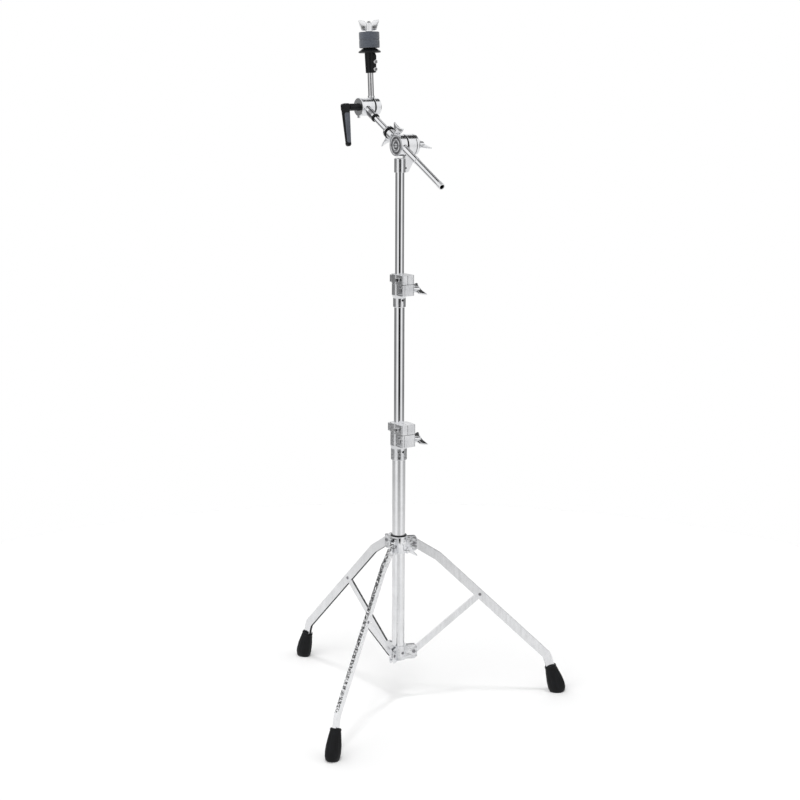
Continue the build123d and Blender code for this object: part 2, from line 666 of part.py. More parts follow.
def clamp_set(name, outer_od, outer_top, sleeve_od, inner_od, size):
    """Every piece of one tube clamp, still unturned."""
    middle = (size["block_low"] + size["high"]) / 2
    left, right, front = size["left"], size["right"], size["front"]
    return {
        name + "_clamp_body": clamp_body(outer_od, outer_top, sleeve_od, **size),
        name + "_clamp_bush": clamp_bush(outer_od, inner_od, outer_top + 0.1, size["high"] - 0.4),
        name + "_clamp_bolt": clamp_bolt(left, right, front, middle, 12.5),
        name + "_clamp_wing_nut": clamp_nut(right, front, middle, clamp_nut_turn),
    }


def lock_set(name, tube_od, size):
    """Every piece of one memory lock, still unturned."""
    big, small = lock_jaws(tube_od, **size)
    screw = lock_screw(tube_od, size["left"], size["right"], size["low"], size["high"])
    return {name + "_lock_block_jaw": big, name + "_lock_small_jaw": small, name + "_lock_key_screw": screw}


castings = {}
castings.update(clamp_set("base", base_tube_od, base_tube_top, 35.0, middle_tube_od, low_clamp))
castings.update(clamp_set("middle", middle_tube_od, middle_tube_top, 27.2, upper_tube_od, top_clamp))
castings.update(lock_set("lower", middle_tube_od, low_lock))
castings.update(lock_set("upper", upper_tube_od, top_lock))
castings.update({
    "tilter_base": tilter_base(), "tilter_end_cap": tilter_end_cap(), "tilter_wing_nut": tilter_nut(),
    "boom_holder": boom_holder(), "tilter_ring_cap": ring_cap(), "tilter_friction_disc": friction_disc(),
    "tilter_eyebolt": tilter_eyebolt(), "boom_guide_sleeve": guide_sleeve(),
    "boom_wing_screw": boom_wing_screw(), "boom_stop_collar": stop_collar(),
    "stop_collar_wing_screw": stop_wing_screw(), "boom_tube": boom_tube(), "boom_ferrule": boom_ferrule(),
    "cymbal_tilter_base": cymbal_tilter_base(), "cymbal_friction_disc": cymbal_friction_disc(),
    "cymbal_tilter_bolt": cymbal_tilter_bolt(), "cymbal_tilter_top": cymbal_tilter_top(),
    "tilter_lever": lever_handle(), "cymbal_post": cymbal_post(), "cymbal_seat": cymbal_seat(),
    "seat_key_screws": seat_screws(), "lower_felt": felt(seat_top),
    "upper_felt": felt(seat_top + felt_thickness), "cymbal_wing_nut": cymbal_wing_nut(),
})
pieces = {name: Rot(0, 0, casting_turn) * shape for name, shape in castings.items()}

pieces["base_tube"] = base_tube()
pieces["middle_tube"] = ring(middle_tube_od, middle_tube_id, middle_tube_low, middle_tube_top)
pieces["middle_tube_glide"] = tube_glide()
pieces["upper_tube"] = ring(upper_tube_od, upper_tube_id, upper_tube_low, upper_tube_top)
pieces["upper_tube_glide"] = upper_glide()
pieces["brace_bracket"] = brace_bracket()
pieces["bracket_rivets"] = bracket_rivets()
pieces["leg_collar"] = leg_collar()
pieces["collar_pivot_pins"] = leg_pins()
pieces["collar_wing_bolt"] = collar_wing_bolt()
for side, heading in leg_headings.items():
    leg_solid = leg()
    pieces[side + "_leg"] = in_leg_plane(leg_solid, heading)
    pieces[side + "_foot"] = Rot(0, 0, heading) * boot(leg_solid)
    pieces[side + "_brace"] = in_leg_plane(brace(), heading)
    pieces[side + "_leg_pin"] = in_leg_plane(pivot_pin(mid_pivot, leg_width, 7.0), heading)

# ---- move the origin to the bottom centre of the box and write one file per piece ----
boxes = [shape.bounding_box() for shape in pieces.values()]
column_x = -(min(b.min.X for b in boxes) + max(b.max.X for b in boxes)) / 2
column_y = -(min(b.min.Y for b in boxes) + max(b.max.Y for b in boxes)) / 2
os.makedirs("parts", exist_ok=True)
for name, shape in pieces.items():
    export_step(Pos(column_x, column_y, 0) * shape, "parts/" + name + ".step")
print(len(pieces), "pieces, column axis at", round(column_x, 3), round(column_y, 3))
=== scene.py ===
import json
from math import atan2, cos, pi, radians, sin, sqrt

import bmesh
import bpy
from mathutils import Matrix, Vector, noise


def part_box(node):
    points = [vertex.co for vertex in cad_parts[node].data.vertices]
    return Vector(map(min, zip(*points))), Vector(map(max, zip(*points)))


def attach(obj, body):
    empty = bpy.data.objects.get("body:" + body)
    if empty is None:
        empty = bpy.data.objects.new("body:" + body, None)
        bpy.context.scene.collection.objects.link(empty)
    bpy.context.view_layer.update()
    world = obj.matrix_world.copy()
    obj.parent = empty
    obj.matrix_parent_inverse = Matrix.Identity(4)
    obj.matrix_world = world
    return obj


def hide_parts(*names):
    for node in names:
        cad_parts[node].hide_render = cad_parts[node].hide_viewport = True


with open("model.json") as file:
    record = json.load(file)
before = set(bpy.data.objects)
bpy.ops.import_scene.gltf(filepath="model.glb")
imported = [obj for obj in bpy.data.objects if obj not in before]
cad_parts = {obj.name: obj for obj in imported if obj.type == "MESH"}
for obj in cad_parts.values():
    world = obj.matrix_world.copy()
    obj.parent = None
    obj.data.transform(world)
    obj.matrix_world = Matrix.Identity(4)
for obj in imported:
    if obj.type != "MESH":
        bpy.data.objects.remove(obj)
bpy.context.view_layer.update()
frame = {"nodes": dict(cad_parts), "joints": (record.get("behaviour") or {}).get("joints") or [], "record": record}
scene = bpy.context.scene
nodes, record = frame["nodes"], frame["record"]
joints = {joint["name"]: joint for joint in frame["joints"]}
MM = 0.001


# ---- places taken from the frame ----
def column_foot():
    """The point on the floor under the middle of the upper tube."""
    low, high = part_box("upper_tube")
    return Vector(((low.x + high.x) / 2, (low.y + high.y) / 2, 0))


column = column_foot()
up = Vector((0, 0, 1))


def joint_place(name):
    """A joint's point and its unit axis."""
    return Vector(joints[name]["pos_m"]), Vector(joints[name]["axis"]).normalized()


far_share = 0.7         # corners beyond this share of the longest reach show which way a piece points


def turning_frame(node, name):
    """Where a turning piece sits, its reach and its height.

    The frame has Z along the joint's axis from the piece's lowest point, and X along its longest reach.
    """
    point, axis = joint_place(name)
    side = axis.orthogonal().normalized()
    other = axis.cross(side)
    reach, heights = [], []
    for vertex in nodes[node].data.vertices:
        offset = vertex.co - point
        heights.append(offset.dot(axis))
        reach.append((offset.dot(side), offset.dot(other)))
    longest = max(sqrt(a * a + b * b) for a, b in reach)
    far = [(a, b) for a, b in reach if sqrt(a * a + b * b) > far_share * longest]
    double = sum(complex(a, b) ** 2 for a, b in far)
    turn = atan2(double.imag, double.real) / 2
    forward = side * cos(turn) + other * sin(turn)
    if sum(a * cos(turn) + b * sin(turn) for a, b in far) < 0:
        forward = -forward
    matrix = Matrix((forward, axis.cross(forward), axis)).transposed().to_4x4()
    matrix.translation = point + axis * min(heights)
    return matrix, longest, max(heights) - min(heights)


def upright_frame(point, x_axis, z_axis):
    """A frame at a point with Z along one direction and X as near as it can be to another."""
    z = z_axis.normalized()
    x = (x_axis - z * x_axis.dot(z)).normalized()
    matrix = Matrix((x, z.cross(x), z)).transposed().to_4x4()
    matrix.translation = point
    return matrix


def axis_frame(point, axis):
    return upright_frame(point, axis.orthogonal(), axis)


# ---- directions of the castings: u along the cross bolts, v down the boom seen from above ----
u = joint_place("boom_tilt")[1]
v = Vector((u.y, -u.x, 0))


# ---- camera: in front of the column, a little above the boom, looking down ----
camera_distance, camera_aside, camera_height = 3.725, 0.002, 1.4538
camera_pitch, camera_roll = 11.62, 0.2
camera_data = bpy.data.cameras.new("camera")
camera_data.sensor_width = 36.0
camera_data.lens = 78.75
camera_data.clip_end = 50
camera = bpy.data.objects.new("camera", camera_data)
camera.location = (column.x + camera_aside, column.y - camera_distance, camera_height)
tilt = Matrix.Rotation(radians(90 - camera_pitch), 3, "X")
camera.rotation_euler = (tilt @ Matrix.Rotation(radians(camera_roll), 3, "Z")).to_euler()
scene.collection.objects.link(camera)
scene.camera = camera
scene.view_settings.view_transform = "Standard"


# ---- small tools for node materials ----
class Nodes:
    """Adds nodes to one tree and joins them: a value that is a socket is linked, any other is set.

    An input is named by its label with underscores, or by i and its number.
    """

    def __init__(self, tree):
        self.tree = tree

    def add(self, kind, settings=None, **inputs):
        node = self.tree.nodes.new("ShaderNode" + kind)
        for name, value in (settings or {}).items():
            setattr(node, name, value)
        for name, value in inputs.items():
            self.join(node, name.replace("_", " "), value)
        return node

    def join(self, node, name, value):
        socket = node.inputs[int(name[1:])] if name[0] == "i" and name[1:].isdigit() else node.inputs[name]
        if isinstance(value, bpy.types.NodeSocket):
            self.tree.links.new(value, socket)
        else:
            socket.default_value = value

    def maths(self, operation, a, b=0.0, c=0.0):
        return self.add("Math", {"operation": operation}, i0=a, i1=b, i2=c).outputs[0]

    def noise(self, vector, scale, detail=3.0, roughness=0.5):
        return self.add("TexNoise", Vector=vector, Scale=scale, Detail=detail, Roughness=roughness).outputs[0]

    def stretched(self, vector, scale):
        return self.add("Mapping", Vector=vector, Scale=scale).outputs[0]

    def spread(self, value, low, high, to_low, to_high):
        """Takes a value between low and high to one between to_low and to_high."""
        node = self.add("MapRange", {"clamp": True}, i0=value, i1=low, i2=high, i3=to_low, i4=to_high)
        return node.outputs[0]

    def blend(self, factor, first, second):
        node = self.add("Mix", {"data_type": "RGBA"})
        self.join(node, "i0", factor)
        self.join(node, "i6", first)
        self.join(node, "i7", second)
        return node.outputs[2]


def material(name, metallic, sheen=0.0):
    """A new node material, its Principled shader and its tools."""
    made = bpy.data.materials.new(name)
    made.use_nodes = True
    tools = Nodes(made.node_tree)
    shader = made.node_tree.nodes["Principled BSDF"]
    shader.inputs["Metallic"].default_value = metallic
    shader.inputs["Sheen Weight"].default_value = sheen
    shader.inputs["IOR"].default_value = 1.5
    place = tools.add("TexCoord").outputs["Object"]
    return made, shader, tools, place


def grey(value, warm=0.0):
    """A grey, leaning to red when warm is more than nothing."""
    return (value + warm, value, value - warm, 1)


def cool(value, green=0.005, blue=0.02):
    """A faintly blue grey, by what green and blue have more than red."""
    return (value, value + green, value + blue, 1)


def bump(tools, shader, height, strength, distance, normal=None):
    """Gives a shader a bumpy face, on top of another normal if there is one."""
    node = tools.add("Bump", Strength=strength, Distance=distance, Height=height)
    if normal is not None:
        tools.join(node, "Normal", normal)
    tools.join(shader, "Normal", node.outputs[0])


materials = {}


def chrome(name, bright, dull, rough, ripple, edge, grain=(1, 1, 1), waves=(0.0, 100.0), draft=0.0):
    """Chrome plate: nearly a mirror, with a faint haze, tiny ripples and softened edges.

    Ripple is their strength, edge the radius of the softened edges in metres, and grain stretches the uneven
    gloss. Waves are the depth in metres and the scale of a casting's unevenness, and draft tilts its walls.
    """
    made, shader, tools, place = material(name, 1.0)
    haze = tools.noise(place, 38.0, 4.0, 0.6)
    smear = tools.noise(tools.stretched(place, grain), 240.0, 5.0, 0.65)
    tint = tools.spread(haze, 0.35, 0.75, 0.0, 1.0)
    tools.join(shader, "Base Color", tools.blend(tint, bright, dull))
    tools.join(shader, "Roughness", tools.spread(smear, 0.3, 0.8, rough * 0.7, rough * 1.6))
    rounded = tools.add("Bevel", {"samples": 4}, Radius=edge).outputs[0]
    if draft:
        leaning = tools.add("VectorMath", {"operation": "ADD"}, i0=rounded, i1=(0.0, 0.0, draft)).outputs[0]
        rounded = tools.add("VectorMath", {"operation": "NORMALIZE"}, i0=leaning).outputs[0]
    if waves[0]:
        rounded = tools.add("Bump", Strength=1.0, Distance=waves[0], Height=tools.noise(place, waves[1], 2.0),
                            Normal=rounded).outputs[0]
    bump(tools, shader, tools.noise(place, 260.0, 2.0), ripple, 0.0004, rounded)
    materials[name] = made


chrome("bright_chrome", cool(0.88), cool(0.80, 0.01, 0.03), rough=0.03, ripple=0.004, edge=0.0002,
       grain=(1, 1, 0.02))
chrome("satin_chrome", cool(0.90), cool(0.82), rough=0.15, ripple=0.02, edge=0.0005, grain=(1, 1, 0.1))
chrome("chromed_casting", cool(0.88), cool(0.76, 0.01, 0.03), rough=0.15, ripple=0.03, edge=0.0008)
chrome("block_casting", cool(0.84), cool(0.62, 0.01, 0.03), rough=0.16, ripple=0.03, edge=0.0009,
       waves=(0.00026, 210.0), draft=0.02)
chrome("collar_casting", cool(0.88), cool(0.70, 0.01, 0.03), rough=0.10, ripple=0.03, edge=0.0012,
       waves=(0.0011, 80.0), draft=0.055)
chrome("lug_casting", cool(0.86), cool(0.66, 0.01, 0.03), rough=0.14, ripple=0.03, edge=0.0010,
       waves=(0.0004, 150.0), draft=0.012)
chrome("leg_plate", cool(0.90), cool(0.82), rough=0.08, ripple=0.02, edge=0.0005, waves=(0.0009, 160.0))
chrome("cap_steel", cool(0.56), cool(0.42), rough=0.16, ripple=0.02, edge=0.0004)
chrome("wing_casting", cool(0.92), cool(0.86), rough=0.24, ripple=0.02, edge=0.0006)
chrome("plated_steel", cool(0.72, 0, 0.01), cool(0.58, 0, 0.01), rough=0.12, ripple=0.02, edge=0.0004)
chrome("pin_steel", cool(0.34, 0, 0.02), cool(0.22, 0, 0.01), rough=0.28, ripple=0.04, edge=0.0004)


def moulded(name, dark, light, rough, shine, grain_scale, grain):
    """Moulded plastic or rubber: a fine grain whose strength is grain, and an uneven colour and gloss."""
    made, shader, tools, place = material(name, 0.0)
    shader.inputs["Specular IOR Level"].default_value = shine
    cloud = tools.noise(place, 60.0, 5.0, 0.6)
    tools.join(shader, "Base Color", tools.blend(tools.spread(cloud, 0.35, 0.8, 0.0, 1.0), dark, light))
    tools.join(shader, "Roughness", tools.spread(cloud, 0.3, 0.75, rough * 0.85, rough * 1.2))
    speck = tools.noise(place, grain_scale, 3.0, 0.6)
    rounded = tools.add("Bevel", {"samples": 4}, Radius=0.0006).outputs[0]
    bump(tools, shader, speck, grain, 0.0002, rounded)
    materials[name] = made


moulded("black_nylon", grey(0.003), cool(0.007, 0.001, 0.003), rough=0.28, shine=0.22, grain_scale=900.0,
        grain=0.06)
# painted reflection: a lighter grey-blue than the black nylon, for the lever's front face as if it mirrored a
# bright light
moulded("painted_reflection_panel", cool(0.075, 0.007, 0.025), cool(0.11, 0.01, 0.03), rough=0.4, shine=0.3,
        grain_scale=900.0, grain=0.1)
moulded("white_nylon", grey(0.70, 0.01), grey(0.80, 0.01), rough=0.45, shine=0.5, grain_scale=500.0,
        grain=0.08)
moulded("friction_ring", grey(0.004), grey(0.010), rough=0.8, shine=0.08, grain_scale=1400.0, grain=0.4)
moulded("foot_rubber", grey(0.004), cool(0.009, 0.001, 0.003), rough=0.5, shine=0.16, grain_scale=1200.0,
        grain=0.25)


def pressed_felt(name):
    """Grey felt: a heather of dark and pale fibres lying every way, fuzzy and quite matte."""
    made, shader, tools, place = material(name, 0.0, sheen=0.35)
    shader.inputs["Sheen Roughness"].default_value = 0.6
    layers = tools.noise(tools.stretched(place, (1, 1, 3.2)), 170.0, 6.0, 0.75)
    fibres = tools.noise(tools.stretched(place, (1, 1, 1.6)), 1100.0, 4.0, 0.8)
    dark, middle, pale = cool(0.030, 0.005, 0.017), cool(0.072, 0.011, 0.033), cool(0.15, 0.015, 0.05)
    body = tools.blend(tools.spread(layers, 0.32, 0.68, 0.0, 1.0), dark, middle)
    body = tools.blend(tools.spread(fibres, 0.52, 0.75, 0.0, 0.7), body, pale)
    tools.join(shader, "Base Color", body)
    tools.join(shader, "Roughness", tools.spread(fibres, 0.2, 0.8, 0.85, 1.0))
    bump(tools, shader, tools.maths("ADD", fibres, tools.maths("MULTIPLY", layers, 0.8)), 0.8, 0.0006)
    materials[name] = made


pressed_felt("grey_felt")


# ---- studio: a white floor, two suns, and surroundings that the camera itself sees as plain white ----
def skin(mesh, rows):
    """Joins each ring of vertices to the next with a band of faces."""
    for first, second in zip(rows, rows[1:]):
        for k in range(len(first)):
            after = (k + 1) % len(first)
            mesh.faces.new((first[k], first[after], second[after], second[k]))


floor_radius, floor_gap = 1.7, 0.0002


def disc_floor(radius, rings=24, spokes=96):
    """A flat round sheet of white paper under the stand, a little uneven in tone."""
    mesh = bmesh.new()
    middle = mesh.verts.new((0, 0, 0))
    rows = []
    for i in range(1, rings + 1):
        r = radius * i / rings
        rows.append([mesh.verts.new((r * cos(2 * pi * k / spokes), r * sin(2 * pi * k / spokes), 0))
                     for k in range(spokes)])
    for k in range(spokes):
        mesh.faces.new((middle, rows[0][k], rows[0][(k + 1) % spokes]))
        for inner, outer in zip(rows, rows[1:]):
            mesh.faces.new((inner[k], outer[k], outer[(k + 1) % spokes], inner[(k + 1) % spokes]))
    data = bpy.data.meshes.new("floor")
    mesh.to_mesh(data)
    mesh.free()
    floor = bpy.data.objects.new("floor", data)
    floor.location = (column.x, column.y, -floor_gap)
    scene.collection.objects.link(floor)
    paper, shader, tools, place = material("floor_paper", 0.0)
    tone = tools.noise(place, 6.0, 4.0)
    tools.join(shader, "Base Color", tools.blend(tone, grey(0.98), grey(0.99)))
    shader.inputs["Roughness"].default_value = 0.9
    shader.inputs["Specular IOR Level"].default_value = 0.1
    data.materials.append(paper)
    return floor


floor = disc_floor(floor_radius)
floor.visible_glossy = False


def ramp(tools, value, stops):
    """A colour ramp of (position, brightness) stops."""
    node = tools.add("ValToRGB", Fac=value)
    elements = node.color_ramp.elements
    for element in list(elements)[1:]:
        elements.remove(element)
    elements[0].position, elements[0].color = stops[0][0], grey(stops[0][1])
    for position, brightness in stops[1:]:
        elements.new(position).color = grey(brightness)
    return node.outputs[0]


def around(degrees):
    """A ramp position for an angle about the stand, 0 in front of it and positive to the right."""
    return 0.5 + degrees / 360


def flagged(tools, colour, turn, rise, heading, level, brightness):
    """Sets a dark card in the surroundings: heading and level are each a middle and a half width."""
    card = tools.maths("MULTIPLY", tools.maths("COMPARE", turn, around(heading[0]), heading[1] / 360),
                       tools.maths("COMPARE", rise, *level))
    return tools.blend(card, colour, grey(brightness))


def surroundings():
    """Bright on both sides, dark in front, at the back and straight above, and pale below."""
    world = bpy.data.worlds.new("studio")
    world.use_nodes = True
    scene.world = world
    tools = Nodes(world.node_tree)
    background = world.node_tree.nodes["Background"]
    direction = tools.add("TexCoord").outputs["Generated"]
    x, y, z = tools.add("SeparateXYZ", Vector=direction).outputs
    turn = tools.maths("ARCTAN2", x, tools.maths("MULTIPLY", y, -1.0))
    turn = tools.maths("ADD", tools.maths("DIVIDE", turn, 2 * pi), 0.5)
    sides = ramp(tools, turn, [(around(heading), brightness) for heading, brightness in (
        (-180, 0.28), (-150, 0.22), (-110, 0.22), (-72, 0.26), (-62, 0.84), (-40, 0.96), (-23, 0.80),
        (-15, 0.02), (24, 0.015), (33, 0.80), (50, 0.96), (68, 0.84), (80, 0.26), (110, 0.22), (150, 0.22),
        (180, 0.28))])
    rise = tools.maths("DIVIDE", tools.maths("ARCSINE", z), pi / 2)
    above = tools.spread(rise, 0.04, 0.12, 0.0, 1.0)
    overhead = ramp(tools, rise, [(0.0, 0.92), (0.30, 0.96), (0.68, 1.0), (0.76, 0.05), (1.0, 0.04)])
    colour = tools.blend(above, sides, overhead)
    colour = flagged(tools, colour, turn, rise, (132, 33), (0.535, 0.135), 0.03)
    colour = flagged(tools, colour, turn, rise, (-80, 22), (0.69, 0.045), 0.04)
    beneath = tools.spread(rise, -0.195, -0.128, 1.0, 0.0)
    colour = tools.blend(beneath, colour, grey(0.90))
    seen = tools.add("LightPath").outputs["Is Camera Ray"]
    colour = tools.blend(seen, colour, grey(1.0))
    tools.join(background, "Color", colour)


surroundings()


def soft_sun(name, strength, angle, tilt, turn):
    """A sun that the chrome doesn't mirror: its strength, how wide its disc is, and the way it leans."""
    data = bpy.data.lights.new(name, "SUN")
    data.energy = strength
    data.angle = radians(angle)
    light = bpy.data.objects.new(name, data)
    light.rotation_euler = (radians(tilt), 0, radians(turn))
    light.visible_glossy = False
    scene.collection.objects.link(light)


soft_sun("key", strength=0.62, angle=9, tilt=11, turn=10)
soft_sun("fill", strength=1.3, angle=60, tilt=68, turn=-30)


# ---- materials of the CAD pieces ----
slot_of = {part["node"]: part["material_slot"] for part in record["subparts"]}
body_of = {node: body for body, members in record["behaviour"]["bodies"].items() for node in members}
finishes = {
    "pin_steel": ("bracket_rivets", "collar_pivot_pins", "front_leg_pin", "left_leg_pin", "right_leg_pin"),
    "block_casting": ("base_clamp_body", "middle_clamp_body", "lower_lock_block_jaw", "lower_lock_small_jaw",
                      "upper_lock_block_jaw", "upper_lock_small_jaw"),
    "lug_casting": ("leg_collar", "brace_bracket"),
    "leg_plate": ("front_leg",),
}
finish_of = {node: finish for finish, members in finishes.items() for node in members}
for name, thing in nodes.items():
    thing.data.materials.clear()
    thing.data.materials.append(materials[finish_of.get(name, slot_of[name])])


# ---- pieces modelled for the eye ----
def piece(name, mesh, matrix, body, slot, replaced=(), smooth_angle=40, finish=None):
    """Turns a bmesh in millimetres into a shown piece that rides on a body."""
    bmesh.ops.recalc_face_normals(mesh, faces=mesh.faces)
    data = bpy.data.meshes.new(name)
    mesh.to_mesh(data)
    mesh.free()
    data.transform(Matrix.Scale(MM, 4))
    data.transform(matrix)
    data.materials.append(materials[finish or slot])
    data.shade_smooth()
    data.set_sharp_from_angle(angle=radians(smooth_angle))
    made = bpy.data.objects.new(name, data)
    scene.collection.objects.link(made)
    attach(made, body)
    if replaced:
        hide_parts(*replaced)
    return made


def lathe(mesh, profile, spokes, closed=True, wobble=None):
    """Adds a solid of revolution about Z from (radius, height) points.

    A closed profile joins its last point to its first, and an open one is capped at both ends.
    """
    rows = []
    for r, z in profile:
        row = []
        for k in range(spokes):
            a = 2 * pi * k / spokes
            reach = r + (wobble(a, r, z) if wobble else 0.0)
            row.append(mesh.verts.new((reach * cos(a), reach * sin(a), z)))
        rows.append(row)
    if closed:
        skin(mesh, rows + rows[:1])
    else:
        skin(mesh, rows)
        mesh.faces.new(rows[0][::-1])
        mesh.faces.new(rows[-1])


def between(x, points):
    """The height at x of a line through (x, height) points."""
    for (x0, z0), (x1, z1) in zip(points, points[1:]):
        if x <= x1:
            return z0 + (z1 - z0) * (x - x0) / (x1 - x0)
    return points[-1][1]


# a wing's lower and upper outline: (share of its reach, share of its height)
swept_wing = ([(0, 0.14), (0.45, 0.18), (0.74, 0.26), (0.86, 0.50), (0.97, 0.80), (1.0, 0.90)],
              [(0, 0.84), (0.35, 0.86), (0.6, 0.93), (0.85, 0.99), (0.94, 1.0), (0.985, 0.97), (1.0, 0.93)])
upright_wing = ([(0, 0.10), (0.55, 0.10), (0.74, 0.15), (0.83, 0.40), (0.93, 0.72), (1.0, 0.92)],
                [(0, 0.66), (0.24, 0.70), (0.34, 0.90), (0.5, 0.95), (0.8, 0.99), (0.95, 1.0), (1.0, 0.96)])

wing_root, wing_tip = 5.2, 3.1      # a wing's thickness at the hub and over its outer quarter
wing_spokes = 28
wing_stations = [0, 0.15, 0.3, 0.42, 0.52, 0.6, 0.68, 0.74, 0.79, 0.84, 0.88, 0.92, 0.95, 0.97, 0.985, 0.995]
rounding_from = 0.96


def add_wing(mesh, side, half, top, shape, oval):
    """Adds one broad cast wing: upright oval sections from the hub out to a rounded tip.

    Oval is the power that makes a section full, below 1, or lean, above it.
    """
    lower, upper = shape
    rows = []
    for t in wing_stations:
        low, high = between(t, lower) * top, between(t, upper) * top
        thick = wing_root + (wing_tip - wing_root) * min(1, t * 1.3)
        if t > rounding_from:
            thick *= sqrt(max(0.06, 1 - ((t - rounding_from) / 0.042) ** 2))
        row = []
        for k in range(wing_spokes):
            a = 2 * pi * k / wing_spokes
            y = thick / 2 * (abs(cos(a)) ** oval) * (1 if cos(a) > 0 else -1)
            z = (low + high) / 2 + (high - low) / 2 * (abs(sin(a)) ** oval) * (1 if sin(a) > 0 else -1)
            row.append(mesh.verts.new((side * t * half, y, z)))
        rows.append(row)
    skin(mesh, rows)
    mesh.faces.new(rows[0])
    mesh.faces.new(rows[-1])


large_wings, large_voxel, small_voxel = 19, 0.42, 0.34


def fuse(thing, voxel):
    """Welds a piece's overlapping solids into one soft casting."""
    weld = thing.modifiers.new("weld", "REMESH")
    weld.mode = "VOXEL"
    weld.voxel_size = voxel * MM
    weld.use_smooth_shade = True
    soften = thing.modifiers.new("soften", "SMOOTH")
    soften.factor = 0.5
    soften.iterations = 5


def cast_wings(node, joint, hub_low, hub_high, hub_height, rise, shank=0, screw=0, bore=0, shape=swept_wing,
               oval=0.72, finish=None):
    """A cast wing nut, with a bore, or wing screw, with a shank, in the place of its plain shape.

    The hub's lower and upper width and its height, the wings' rise above it, the shank's length, and the
    radii of the screw and the bore are in millimetres.
    """
    matrix, reach, _ = turning_frame(node, joint)
    matrix = matrix @ Matrix.Translation((0, 0, shank * MM))
    half = reach / MM
    a, b, h = hub_low / 2, hub_high / 2, hub_height
    mesh = bmesh.new()
    if bore:
        lathe(mesh, [(bore, 0.3), (bore + 0.6, 0.0), (a - 0.6, 0.0), (a, 0.6), (a, 1.8), (a - 0.5, 2.6),
                     (b + 0.3, h - 1.2), (b - 0.6, h - 0.2), (bore + 0.8, h), (bore, h - 0.6)], 72)
    else:
        lathe(mesh, [(0.6, 0.0), (a - 0.6, 0.0), (a, 0.6), (a, 1.8), (a - 0.5, 2.6), (b + 0.3, h - 1.2),
                     (b - 1.0, h - 0.2), (b * 0.5, h + 0.3), (0.6, h + 0.4)], 72, closed=False)
    for side in (-1, 1):
        add_wing(mesh, side, half, hub_height + rise, shape, oval)
    if bore:
        cut = bore + 0.7        # the wings' roots stay this far from the bore's middle
        for vertex in mesh.verts:
            if sqrt(vertex.co.x ** 2 + vertex.co.y ** 2) < cut and abs(vertex.co.y) < cut:
                wanted = sqrt(max(0.0, cut ** 2 - vertex.co.y ** 2))
                vertex.co.x *= max(1.0, wanted / max(0.01, abs(vertex.co.x)))
    made = piece(node + "_casting", mesh, matrix, body_of[node], slot_of[node], (node,), 60, finish)
    fuse(made, large_voxel if half > large_wings else small_voxel)
    if screw:
        thread = bmesh.new()
        lathe(thread, thread_profile(screw, -shank, 0.8, 1.0), 40, closed=False)
        piece(node + "_thread", thread, matrix, body_of[node], "plated_steel")


thread_depth = 0.5


def thread_profile(radius, low, high, pitch):
    """The ridged outline of a screw thread between two heights."""
    root = radius - thread_depth
    outline = [(0.5, low), (root - 0.2, low)]
    z = low + 0.35
    while z < high - pitch:
        outline += [(root, z), (radius, z + pitch * 0.42), (radius, z + pitch * 0.58)]
        z += pitch
    return outline + [(root, z), (0.5, high)]


cast_wings("base_clamp_wing_nut", "base_clamp_nut_turn", 15, 12, 16.5, 9.5, bore=3.3)
cast_wings("middle_clamp_wing_nut", "middle_clamp_nut_turn", 15, 12, 16.5, 9.5, bore=3.3)
cast_wings("tilter_wing_nut", "tilter_nut_turn", 17, 13.5, 17, 9, bore=4.3)
cast_wings("cymbal_wing_nut", "cymbal_nut_turn", 15, 12, 19, 6, bore=4.2, shape=upright_wing, oval=1.15,
           finish="wing_casting")
cast_wings("boom_wing_screw", "boom_screw_turn", 11, 9, 9, 8, shank=7.4, screw=2.95)
cast_wings("stop_collar_wing_screw", "stop_screw_turn", 10, 8, 9, 8, shank=6.4, screw=2.45)
cast_wings("collar_wing_bolt", "collar_bolt_turn", 12, 10, 11, 7, shank=9.6, screw=2.95)


felt_bore = 6.1


def felt_washer(node):
    """A soft felt washer: rounded rims, a slight bulge and an uneven, fibrous outline."""
    matrix, reach, height = turning_frame(node, "cymbal_nut_turn")
    r, h = reach / MM, height / MM

    def fibres(angle, radius, z):
        spot = Vector((cos(angle) * radius, sin(angle) * radius, z * 1.7)) * 0.55
        return 0.16 * noise.noise(spot) + 0.10 * noise.noise(spot * 3.1) - (0.12 if radius > 8 else 0)

    face = [7 + (r - 8.6) * k / 12 for k in range(1, 13)]
    outline = [(felt_bore, 0.5), (6.8, 0.05)]
    outline += [(x, 0.02) for x in face]
    outline += [(r - 1.1, 0.12), (r - 0.5, 0.45), (r - 0.15, 1.0)]
    outline += [(r - 0.12 + 0.12 * sin(pi * k / 24), 1.0 + (h - 2.0) * k / 24) for k in range(1, 24)]
    outline += [(r - 0.15, h - 1.0), (r - 0.5, h - 0.45), (r - 1.1, h - 0.12)]
    outline += [(x, h - 0.02) for x in reversed(face)]
    outline += [(6.8, h - 0.05), (felt_bore, h - 0.5)]
    mesh = bmesh.new()
    lathe(mesh, outline, 200, wobble=fibres)
    made = piece(node + "_soft", mesh, matrix, body_of[node], slot_of[node], (node,), smooth_angle=80)


felt_washer("lower_felt")
felt_washer("upper_felt")


def set_screw(name, node, across, out, height, r):
    """A black socket set screw in a casting's face: a short rounded end with a socket in it.

    It sits across along u and out along v from the column, at a height above the casting's lowest point.
    """
    point = column + u * (across * MM) + v * (out * MM) + up * (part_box(node)[0].z + height * MM)
    mesh = bmesh.new()
    lathe(mesh, [(0.2, -1.0), (r, -1.0), (r, 0.2), (r - 0.3, 0.5), (r * 0.52, 0.5), (r * 0.45, -0.3),
                 (0.2, -0.4)], 36, closed=False)
    piece(name, mesh, axis_frame(point, v), body_of[node], "black_nylon")


